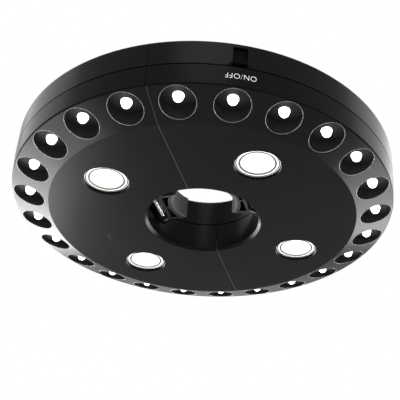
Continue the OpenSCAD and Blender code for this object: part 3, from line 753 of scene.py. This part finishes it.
class NodeTool:
    """A small geometry-node tool that is built in the script and applied to a piece."""

    def __init__(self, name: str, inputs: Iterable[tuple[str, str]]) -> None:
        """Makes the tree with a geometry input and output.

        Args:
            name: Name of the tree.
            inputs: (name, socket type) of each further input.
        """
        self.tree = bpy.data.node_groups.new(name, "GeometryNodeTree")
        face = self.tree.interface
        face.new_socket("Geometry", in_out="INPUT", socket_type="NodeSocketGeometry")
        face.new_socket("Geometry", in_out="OUTPUT", socket_type="NodeSocketGeometry")
        for label, kind in inputs:
            face.new_socket(label, in_out="INPUT", socket_type=kind)
        self.source = self.tree.nodes.new("NodeGroupInput")
        self.sink = self.tree.nodes.new("NodeGroupOutput")

    def add(
        self, kind: str, settings: "dict[str, object] | None" = None, **links: object
    ) -> bpy.types.Node:
        """Adds a node, with its settings and the values or links of its inputs."""
        node = self.tree.nodes.new(kind)
        for name, value in (settings or {}).items():
            setattr(node, name, value)
        for name, value in links.items():
            slot = node.inputs[name.replace("_", " ")]
            if isinstance(value, bpy.types.NodeSocket):
                self.tree.links.new(value, slot)
            else:
                slot.default_value = value
        return node

    def end(self, geometry: bpy.types.NodeSocket) -> None:
        """Ends the tree in Realize Instances and Set Material."""
        material = self.source.outputs["Material"]
        real = self.add("GeometryNodeRealizeInstances", Geometry=geometry)
        done = self.add("GeometryNodeSetMaterial", Geometry=real.outputs[0], Material=material)
        self.tree.links.new(done.outputs[0], self.sink.inputs["Geometry"])

    def apply(self, piece: bpy.types.Object, **values: object) -> None:
        """Runs the tool on a piece and keeps the result as a plain mesh.

        Args:
            piece: The object whose mesh goes in.
            values: The tree's inputs, whose names have _ for a space.
        """
        modifier = piece.modifiers.new(self.tree.name, "NODES")
        modifier.node_group = self.tree
        for item in self.tree.interface.items_tree:
            key = item.name.replace(" ", "_")
            if item.in_out == "INPUT" and key in values:
                modifier[item.identifier] = values[key]
        mesh = finished_mesh(piece)
        piece.modifiers.remove(modifier)
        piece.data = mesh


def ring_of_copies() -> NodeTool:
    """A tool that repeats a piece round the light's axis."""
    tool = NodeTool(
        "ring_of_copies",
        [
            ("Count", "NodeSocketInt"),
            ("First Angle", "NodeSocketFloat"),
            ("Step", "NodeSocketFloat"),
            ("Material", "NodeSocketMaterial"),
        ],
    )
    inputs = tool.source.outputs
    points = tool.add("GeometryNodePoints", Count=inputs["Count"])
    index = tool.add("GeometryNodeInputIndex")
    angle = tool.add("ShaderNodeMath", {"operation": "MULTIPLY_ADD"})
    for slot, link in zip(angle.inputs, (index.outputs[0], inputs["Step"], inputs["First Angle"])):
        tool.tree.links.new(link, slot)
    euler = tool.add("ShaderNodeCombineXYZ", Z=angle.outputs[0])
    turn = tool.add("FunctionNodeEulerToRotation", Euler=euler.outputs[0])
    copies = tool.add(
        "GeometryNodeInstanceOnPoints",
        Points=points.outputs[0],
        Instance=inputs["Geometry"],
        Rotation=turn.outputs[0],
    )
    tool.end(copies.outputs[0])
    return tool


def swept_wire() -> NodeTool:
    """A tool that turns a bare path into a round wire."""
    tool = NodeTool(
        "swept_wire",
        [
            ("Radius", "NodeSocketFloat"),
            ("Sides", "NodeSocketInt"),
            ("Material", "NodeSocketMaterial"),
        ],
    )
    inputs = tool.source.outputs
    path = tool.add("GeometryNodeMeshToCurve", Mesh=inputs["Geometry"])
    section = tool.add(
        "GeometryNodeCurvePrimitiveCircle", Resolution=inputs["Sides"], Radius=inputs["Radius"]
    )
    tube = tool.add(
        "GeometryNodeCurveToMesh",
        Curve=path.outputs[0],
        Profile_Curve=section.outputs[0],
        Fill_Caps=True,
    )
    smooth = tool.add("GeometryNodeSetShadeSmooth", Geometry=tube.outputs[0])
    tool.end(smooth.outputs[0])
    return tool


# ------------------------------
# Sub-assemblies
# ------------------------------


class Workshop:
    """What every sub-assembly needs: the frame, the layout, the finishes and the node tools."""

    def __init__(self, frame: dict) -> None:
        """Reads the layout from the frame and makes the finishes and tools."""
        self.nodes: dict[str, bpy.types.Object] = frame["nodes"]
        self.layout = Layout.from_frame()
        self.finish = Finishes(self.layout)
        self.ring = ring_of_copies()
        self.wire = swept_wire()

    def dress(self, node: str, material: bpy.types.Material) -> None:
        """Gives a CAD node its finish."""
        piece = self.nodes[node]
        piece.data.materials.clear()
        piece.data.materials.append(material)
        LOG.info("dressed %s with %s", node, material.name)

    def keep(
        self,
        piece: bpy.types.Object,
        body: str,
        slot: str,
        material: bpy.types.Material,
        *replaced: str,
    ) -> None:
        """Finishes a new piece: material, body and the nodes that it stands for; the slot is not used.
        """
        if not piece.data.materials:
            piece.data.materials.append(material)
        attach(piece, body)
        if replaced:
            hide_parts(*replaced)
        LOG.info("made %s on %s, %d faces", piece.name, body, len(piece.data.polygons))

    def repeat_at_wells(
        self, piece: bpy.types.Object, half: Half, material: bpy.types.Material
    ) -> None:
        """Repeats a piece at every well of a half."""
        step = self.layout.well_step
        self.ring.apply(
            piece,
            Count=self.layout.well_count,
            First_Angle=-math.pi / 2 + step / 2 + half.turn,
            Step=step,
            Material=material,
        )

    def wind(self, name: str, path: list[Point], wire_r: float, body: str, replaced: str) -> None:
        """Makes a wound spring along a path, in place of a node's own spring."""
        material = self.finish.spring
        piece = new_piece(name, path, [(k, k + 1) for k in range(len(path) - 1)])
        self.wire.apply(piece, Radius=wire_r, Sides=12, Material=material)
        self.keep(piece, body, "spring_steel", material, replaced)


@dataclass
class Housing:
    """Shells, doors, boards, screws and the lips of the wells."""

    shop: Workshop
    lip_r: float = 0.16 * MM
    lip_steps: int = 48

    def build(self) -> None:
        """Dresses the shells and what they hold, and adds the lips."""
        finish = self.shop.finish
        plan = {
            "lower_shell": finish.housing,
            "upper_shell": finish.housing,
            "jaw_box": finish.housing,
            "battery_tray": finish.housing,
            "hook_cup": finish.housing,
            "battery_door": finish.housing,
            "led_board": finish.board,
            "case_screws": finish.steel,
            "cells": finish.cell,
            "contact_plates": finish.nickel,
            "contact_springs": finish.nickel,
            "hook": finish.jaw,
            "hook_pin": finish.steel,
        }
        for half in Half:
            for name, material in plan.items():
                self.shop.dress(half.node(name), material)
            self.lips(half)
        self.shop.dress("control_board", finish.board)
        self.shop.dress("hinge_pin", finish.steel)

    def lips(self, half: Half) -> None:
        """Adds the thin rounded lip round the mouth of each well of a half, coloured much lighter than
        the housing as a painted highlight.
        """
        plan = self.shop.layout
        path: list[Point] = []
        for k in range(self.lip_steps):
            angle = 2 * math.pi * k / self.lip_steps
            x = plan.well_ring_r + plan.well_r * math.cos(angle)
            y = plan.well_r * math.sin(angle)
            path.append((x, y, plan.band_z(math.hypot(x, y)) + 0.5 * self.lip_r))
        loop = [(k, (k + 1) % self.lip_steps) for k in range(self.lip_steps)]
        piece = new_piece(half.node("well_lips"), path, loop)
        material = self.shop.finish.lip_highlight
        self.shop.wire.apply(piece, Radius=self.lip_r, Sides=8, Material=material)
        self.shop.repeat_at_wells(piece, half, material)
        self.shop.keep(piece, half.body, "housing", material)


@dataclass
class OuterLights:
    """The round LEDs in the wells of the band."""

    shop: Workshop
    bulb_r: float = 2.4 * MM
    flange_r: float = 2.75 * MM
    tip: float = 4.1 * MM
    floor: float = 8.0 * MM
    flange_t: float = 0.9 * MM
    bevel: float = 0.1 * MM
    play: float = 0.02 * MM
    stem: float = 1.2 * MM
    dome_steps: int = 8
    sides: int = 28

    def profile(self) -> Profile:
        """Outline of a bulb, from the tip of its dome to the board."""
        turns = [math.pi / 2 * k / self.dome_steps for k in range(self.dome_steps + 1)]
        dome = [
            (self.bulb_r * math.sin(a), self.tip + self.bulb_r * (1 - math.cos(a))) for a in turns
        ]
        flange = self.floor - self.flange_t
        top = self.floor + self.stem
        return dome + [
            (self.bulb_r, flange),
            (self.flange_r, flange + self.bevel),
            (self.flange_r, self.floor - self.play),
            (self.bulb_r, self.floor),
            (self.bulb_r, top),
            (0.0, top),
        ]

    def build(self) -> None:
        """Makes the bulbs of both halves."""
        plan = self.shop.layout
        material = self.shop.finish.bulb
        centre = (plan.well_ring_r, 0.0, plan.face_z)
        for half in Half:
            piece = lathe(half.node("outer_bulbs"), self.profile(), centre, self.sides)
            self.shop.repeat_at_wells(piece, half, material)
            self.shop.keep(piece, half.body, "led_white", material, half.node("outer_leds"))


@dataclass
class SpotLights:
    """The four larger lights of the flat face: grooved flange, plated cone, lens and chip."""

    shop: Workshop
    flange_r: float = 11.85 * MM
    groove_r: float = 10.1 * MM
    lens_r: float = 8.5 * MM
    depth: float = 2.3 * MM
    play: float = 0.1 * MM
    bevel: float = 0.3 * MM
    groove_depth: float = 0.35 * MM
    groove_half: float = 0.16 * MM
    flange_t: float = 0.9 * MM
    flange_lip: float = 0.95 * MM
    cone_r: float = 3.75 * MM
    cone_top: float = 6.4 * MM
    cone_gap: float = 0.02 * MM
    cone_lip: float = 0.6 * MM
    dome_tip: float = 0.2 * MM
    dome_rise: float = 0.6 * MM
    dome_steps: int = 8
    sides: int = 72

    def ring_profile(self) -> Profile:
        """Outline of the flange with its fine groove."""
        bore = self.lens_r + self.play
        neck = self.flange_r - self.flange_lip
        return [
            (bore, self.depth),
            (bore, self.bevel - self.play),
            (self.lens_r + self.bevel, 0.0),
            (self.groove_r - self.groove_half, 0.0),
            (self.groove_r, self.groove_depth),
            (self.groove_r + self.groove_half, 0.0),
            (self.flange_r - self.bevel, 0.0),
            (self.flange_r, self.bevel),
            (self.flange_r, self.flange_t),
            (neck, self.flange_t),
            (neck, self.depth),
        ]

    def cone_profile(self) -> Profile:
        """Outline of the plated cone behind the lens."""
        low = self.depth + self.cone_gap
        neck = self.flange_r - self.flange_lip
        return [
            (self.lens_r - self.cone_lip, low),
            (neck, low),
            (neck, self.cone_top),
            (self.cone_r, self.cone_top),
        ]

    def lens_profile(self) -> Profile:
        """Outline of the lens, with its dome towards the face."""
        shares = [k / self.dome_steps for k in range(self.dome_steps + 1)]
        dome = [(self.lens_r * t, self.dome_tip + self.dome_rise * t**2) for t in shares]
        return dome + [(self.lens_r, self.depth), (0.0, self.depth)]

    def build(self) -> None:
        """Makes the spots of both halves."""
        finish = self.shop.finish
        plan = self.shop.layout
        parts = [
            ("spot_rings", self.ring_profile(), finish.spot_ring, "reflector", "spot_reflectors"),
            ("spot_cones", self.cone_profile(), finish.plating, "reflector", None),
            ("spot_domes", self.lens_profile(), finish.spot_lens, "lens", "spot_lenses"),
        ]
        centre = (plan.spot_ring_r, 0.0, plan.face_z + plan.spot_sink)
        for half in Half:
            self.shop.dress(half.node("spot_chips"), finish.chip)
            for name, profile, material, slot, replaced in parts:
                piece = lathe(half.node(name), profile, centre, self.sides)
                self.shop.ring.apply(
                    piece,
                    Count=2,
                    First_Angle=half.turn - half.sign * math.radians(plan.spot_free_deg),
                    Step=half.sign * math.radians(plan.spot_free_deg + plan.spot_hinge_deg),
                    Material=material,
                )
                stands_for = [half.node(replaced)] if replaced else []
                self.shop.keep(piece, half.body, slot, material, *stands_for)


@dataclass
class Clamp:
    """Jaws, pads, pins and the wound springs that push the jaws on the pole."""

    shop: Workshop
    pivot: Point = (28.0 * MM, 0.0, -5.0 * MM)
    coil_r: float = 1.7 * MM
    wire_r: float = 0.35 * MM
    half_length: float = 8.0 * MM
    turns: int = 13
    steps: int = 20
    leg: float = 2.6 * MM

    def path(self, half: Half) -> list[Point]:
        """Centre line of a jaw spring, with a straight leg at each end."""
        count = self.turns * self.steps
        local: list[Point] = []
        for k in range(count + 1):
            angle = math.pi + 2 * math.pi * k / self.steps
            along = self.half_length * (2 * k / count - 1)
            local.append((self.coil_r * math.cos(angle), along, -self.coil_r * math.sin(angle)))
        head = (local[0][0], local[0][1], local[0][2] - self.leg)
        tail = (local[-1][0], local[-1][1], local[-1][2] + self.leg)
        px, py, pz = self.pivot
        return [(half.sign * (px + x), py + y, pz + z) for x, y, z in [head, *local, tail]]

    def build(self) -> None:
        """Dresses the jaws and makes their springs."""
        finish = self.shop.finish
        for half in Half:
            self.shop.dress(half.node("jaw"), finish.jaw)
            self.shop.dress(half.node("jaw_pad"), finish.rubber)
            self.shop.dress(half.node("jaw_pin"), finish.steel)
            name, replaced = half.node("jaw_coil"), half.node("jaw_spring")
            self.shop.wind(name, self.path(half), self.wire_r, half.body, replaced)


@dataclass
class HingeSpring:
    """The torsion spring round the hinge pin."""

    shop: Workshop
    coil_r: float = 2.3 * MM
    wire_r: float = 0.4 * MM
    turns: int = 4
    steps: int = 24
    leg: float = 2.4 * MM

    def build(self) -> None:
        """Makes the spring in the space that its solid holds."""
        low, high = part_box("hinge_spring")
        pin_low, pin_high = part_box("hinge_pin")
        axis = (pin_low + pin_high) / 2
        count = self.turns * self.steps
        z0, z1 = low.z + self.wire_r, high.z - self.wire_r
        coil: list[Point] = []
        for k in range(count + 1):
            angle = 2 * math.pi * k / self.steps
            x = axis.x + self.coil_r * math.cos(angle)
            y = axis.y + self.coil_r * math.sin(angle)
            coil.append((x, y, z0 + (z1 - z0) * k / count))
        head = (coil[0][0], coil[0][1] - self.leg, coil[0][2])
        tail = (coil[-1][0], coil[-1][1] + self.leg, coil[-1][2])
        path = [head, *coil, tail]
        self.shop.wind("hinge_coil", path, self.wire_r, Half.LEFT.body, "hinge_spring")


@dataclass
class SwitchPanel:
    """The button in the side wall, its switch and the print below it, which is given a painted glow."""

    shop: Workshop
    words: str = "ON/OFF"
    from_deg: float = -62.7
    to_deg: float = -70.5
    low: float = 10.9 * MM
    high: float = 13.7 * MM
    raise_by: float = 0.05 * MM
    thin_by: float = 0.021
    spacing: float = 1.06

    def build(self) -> None:
        """Dresses the switch and prints the words."""
        self.shop.dress("switch_button", self.shop.finish.button)
        self.shop.dress("switch_body", self.shop.finish.switch)
        self.print_words()

    def flat_words(self) -> bpy.types.Mesh:
        """The words as flat text."""
        font = bpy.data.curves.new("print", "FONT")
        font.body = self.words
        font.resolution_u = 6
        font.offset = -self.thin_by
        font.space_character = self.spacing
        text = new_object("print", font)
        mesh = finished_mesh(text)
        bpy.data.objects.remove(text)
        return mesh

    def on_wall(self, along: float, up: float) -> Point:
        """Point of the lower shell's wall, from shares of the print's length and height."""
        plan = self.shop.layout
        angle = math.radians(self.from_deg + (self.to_deg - self.from_deg) * along)
        height = self.high + (self.low - self.high) * up
        rise = plan.rim_z - plan.face_z
        lean = (height - rise) / (plan.wall_top - rise)
        radius = plan.rim_r + (plan.body_r - plan.rim_r) * lean + self.raise_by
        return (radius * math.cos(angle), radius * math.sin(angle), plan.face_z + height)

    def print_words(self) -> None:
        """Lays the words round the wall, upside down, as they are read from below."""
        mesh = self.flat_words()
        form = bmesh.new()
        form.from_mesh(mesh)
        bmesh.ops.triangulate(form, faces=form.faces)
        bmesh.ops.subdivide_edges(form, edges=form.edges, cuts=1)
        xs = [v.co.x for v in form.verts]
        ys = [v.co.y for v in form.verts]
        left, right, bottom, top = min(xs), max(xs), min(ys), max(ys)
        for vert in form.verts:
            along = (vert.co.x - left) / (right - left)
            up = (vert.co.y - bottom) / (top - bottom)
            vert.co = self.on_wall(along, up)
        bmesh.ops.recalc_face_normals(form, faces=form.faces)
        form.to_mesh(mesh)
        form.free()
        piece = new_object("switch_words", mesh)
        solid = piece.modifiers.new("thickness", "SOLIDIFY")
        solid.thickness = 2 * self.raise_by
        solid.offset = 0.0
        thick = finished_mesh(piece)
        piece.modifiers.remove(solid)
        piece.data = thick
        self.shop.keep(piece, Half.RIGHT.body, "led_white", self.shop.finish.glowing_ink)


# ------------------------------
# Studio
# ------------------------------


@dataclass(frozen=True)
class Lamp:
    """A soft round lamp that is aimed at the middle of the light."""

    name: str
    place: Point
    size: float
    power: float


@dataclass
class Studio:
    """Camera, lamps, white surroundings and a pale floor well below the light."""

    camera_at: Point = (0.0, 0.0, 0.0)
    yaw_deg: float = 0.0
    pitch_deg: float = 0.0
    roll_deg: float = 0.0
    focal_px: float = 700.0
    shift_px: tuple[float, float] = (0.0, 0.0)
    frame_px: float = 400.0
    sensor_mm: float = 36.0
    floor_z: float = -2.0
    floor_reach: float = 30.0
    world_fill: float = 0.6
    lamps: tuple[Lamp, ...] = ()

    def camera(self) -> None:
        """Places the camera at the photograph's angle."""
        yaw, pitch, roll = (math.radians(a) for a in (self.yaw_deg, self.pitch_deg, self.roll_deg))
        ahead = Vector(
            (math.sin(yaw) * math.cos(pitch), math.cos(yaw) * math.cos(pitch), math.sin(pitch))
        )
        right = ahead.cross(Vector((0, 0, 1))).normalized()
        up = right.cross(ahead)
        side = math.cos(roll) * right + math.sin(roll) * up
        top = -math.sin(roll) * right + math.cos(roll) * up
        turn = Matrix((side, top, -ahead)).transposed().to_4x4()
        data = bpy.data.cameras.new("camera")
        data.sensor_width = self.sensor_mm
        data.lens = self.focal_px / self.frame_px * self.sensor_mm
        data.shift_x = -self.shift_px[0] / self.frame_px
        data.shift_y = self.shift_px[1] / self.frame_px
        data.clip_start = 0.01
        camera = new_object("camera", data)
        camera.matrix_world = Matrix.Translation(self.camera_at) @ turn
        bpy.context.scene.camera = camera

    def world(self) -> None:
        """White for what the camera, gloss and glass see, and a softer fill for the rest."""
        world = bpy.data.worlds.new("surroundings")
        world.use_nodes = True
        bpy.context.scene.world = world
        tree = world.node_tree
        rays = tree.nodes.new("ShaderNodeLightPath")
        back = tree.nodes["Background"]
        seen = Value(tree, rays.outputs["Is Camera Ray"])
        gloss = Value(tree, rays.outputs["Is Glossy Ray"])
        clear = Value(tree, rays.outputs["Is Transmission Ray"])
        shown = seen.math("MAXIMUM", gloss).math("MAXIMUM", clear)
        strength = shown * (1 - self.world_fill) + self.world_fill
        back.inputs["Color"].default_value = (1, 1, 1, 1)
        tree.links.new(strength.socket, back.inputs["Strength"])

    def light(self) -> None:
        """Adds the soft area lamps."""
        for lamp in self.lamps:
            data = bpy.data.lights.new(lamp.name, "AREA")
            data.shape = "DISK"
            data.size = lamp.size
            data.energy = lamp.power
            turn = (-Vector(lamp.place)).to_track_quat("-Z", "Y").to_matrix().to_4x4()
            item = new_object(lamp.name, data)
            item.matrix_world = Matrix.Translation(lamp.place) @ turn

    def floor(self) -> None:
        """Adds a wide pale floor."""
        reach = self.floor_reach
        corners = [(-reach, -reach), (reach, -reach), (reach, reach), (-reach, reach)]
        floor = new_piece("floor", [(x, y, self.floor_z) for x, y in corners], [(0, 1, 2, 3)])
        paint = Paint("floor")
        tone = paint.blend(paint.noise(3.0), (0.82, 0.82, 0.82), (0.78, 0.78, 0.78))
        paint.set(Base_Color=tone, Roughness=0.8)
        floor.data.materials.append(paint.material)

    def build(self) -> None:
        """Sets up the whole studio."""
        bpy.context.scene.view_settings.view_transform = "Standard"
        self.camera()
        self.world()
        self.light()
        self.floor()


def photo_studio() -> Studio:
    """The studio with the camera at the photograph's angle."""
    return Studio(
        camera_at=(0.09950, -0.33241, -0.23750),
        yaw_deg=-13.276,
        pitch_deg=34.501,
        roll_deg=2.170,
        focal_px=719.01,
        shift_px=(40.0, -5.0),
        lamps=(
            Lamp("lamp_far_left", (-1.4, 1.0, -0.55), size=1.3, power=76.0),
            Lamp("lamp_far_right", (0.75, 1.3, -0.7), size=1.1, power=42.0),
            Lamp("lamp_face", (-1.05, 1.2, -1.05), size=0.5, power=7.0),
            Lamp("lamp_low_left", (-1.2, 0.56, -1.28), size=0.8, power=18.0),
            Lamp("lamp_side", (-1.4, 0.1, 1.1), size=1.3, power=5.6),
            Lamp("lamp_front", (0.28, -1.26, 1.25), size=0.9, power=5.0),
            Lamp("lamp_high_right", (0.95, 0.95, 1.1), size=1.5, power=8.0),
        ),
    )


def main() -> None:
    """Builds every sub-assembly and the studio."""
    logging.basicConfig(level=logging.INFO, format="%(name)s: %(message)s")
    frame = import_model()
    shop = Workshop(frame)
    builders: list[Callable[[], None]] = [
        Housing(shop).build,
        OuterLights(shop).build,
        SpotLights(shop).build,
        Clamp(shop).build,
        HingeSpring(shop).build,
        SwitchPanel(shop).build,
        photo_studio().build,
    ]
    for build in builders:
        build()


if __name__ == "__main__":
    main()
